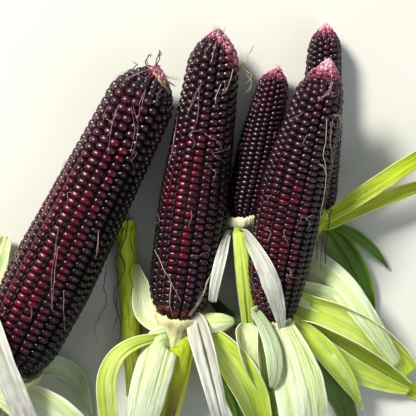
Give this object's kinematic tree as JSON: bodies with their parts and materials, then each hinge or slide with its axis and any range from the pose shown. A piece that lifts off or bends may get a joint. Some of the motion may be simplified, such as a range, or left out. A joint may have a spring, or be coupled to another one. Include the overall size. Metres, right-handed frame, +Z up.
{
  "type": "cut bunch of maize ears",
  "caption": "Cut bunch of dark purple maize ears lying on a flat surface, husk leaves drawn back from the kernels, on short green shanks beside a piece of stem.",
  "frame": {"origin": "middle of the bunch in plan, on the surface it lies on", "axes": "+Z up, +Y along the ears towards their tips, +X to the right seen from above"},
  "size_m": [0.3534, 0.3132, 0.0667],
  "materials": {
    "kernels": "glossy, rounded kernels from wine red to near black",
    "shank": "smooth, yellow-green, creased and browned near the ears",
    "stem": "smooth lime green with fine lengthwise ribs",
    "husk": "thin, matt, pale green to lime with fine lengthwise veins"
  },
  "bodies": {
    "root": {"ear_1": "kernels", "ear_2": "kernels", "ear_3": "kernels", "ear_4": "kernels", "ear_5": "kernels", "shank_1": "shank", "shank_2": "shank", "shank_3": "shank", "shank_4": "shank", "shank_5": "shank", "stem": "stem", "husk_1a": "husk", "husk_1d": "husk", "husk_1e": "husk", "husk_1b": "husk", "husk_1g": "husk", "husk_2a": "husk", "husk_2d": "husk", "husk_2b": "husk", "husk_2k": "husk", "husk_2e": "husk", "husk_2f": "husk", "husk_2g": "husk", "husk_2i": "husk", "husk_3a": "husk", "husk_3c": "husk", "husk_3b": "husk", "husk_4a": "husk", "husk_4b": "husk", "husk_4d": "husk", "husk_4c": "husk", "husk_5b": "husk", "husk_5a": "husk", "husk_5d": "husk", "husk_5n": "husk", "husk_5h": "husk", "husk_5g": "husk", "husk_5e": "husk", "husk_5k": "husk", "husk_5c": "husk", "husk_5m": "husk", "husk_5f": "husk", "husk_5j": "husk", "husk_5l": "husk"}
  },
  "joints": []
}
